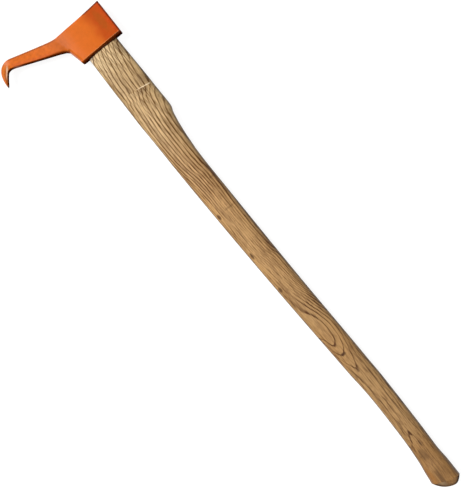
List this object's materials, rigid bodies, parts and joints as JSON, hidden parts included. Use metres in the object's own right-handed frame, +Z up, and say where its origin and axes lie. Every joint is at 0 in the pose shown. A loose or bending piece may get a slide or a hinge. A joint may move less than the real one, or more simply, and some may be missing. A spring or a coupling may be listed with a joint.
{
  "type": "log hook",
  "caption": "Hand log hook: a forged head with a square poll and a downturned beak, wedged on a long bowed wooden handle.",
  "frame": {"origin": "on the cheek that the tool lies on, under the centre of the eye", "axes": "+X along the handle from the head to the knob, +Y towards the poll, -Y towards the beak, +Z up through the other cheek"},
  "size_m": [0.932, 0.1896, 0.032],
  "materials": {
    "enamelled_steel": "orange enamel over forged steel, worn to bare metal at the beak's tip",
    "ash": "sanded ash with a thin oil finish, open grain with dark growth rings",
    "wedge_wood": "split hardwood, end grain showing",
    "bare_steel": "bare mild steel, hammered top"
  },
  "bodies": {
    "root": {"head": "enamelled_steel", "handle": "ash", "eye_wedge": "wedge_wood", "steel_wedge_1": "bare_steel", "steel_wedge_2": "bare_steel"}
  },
  "joints": []
}
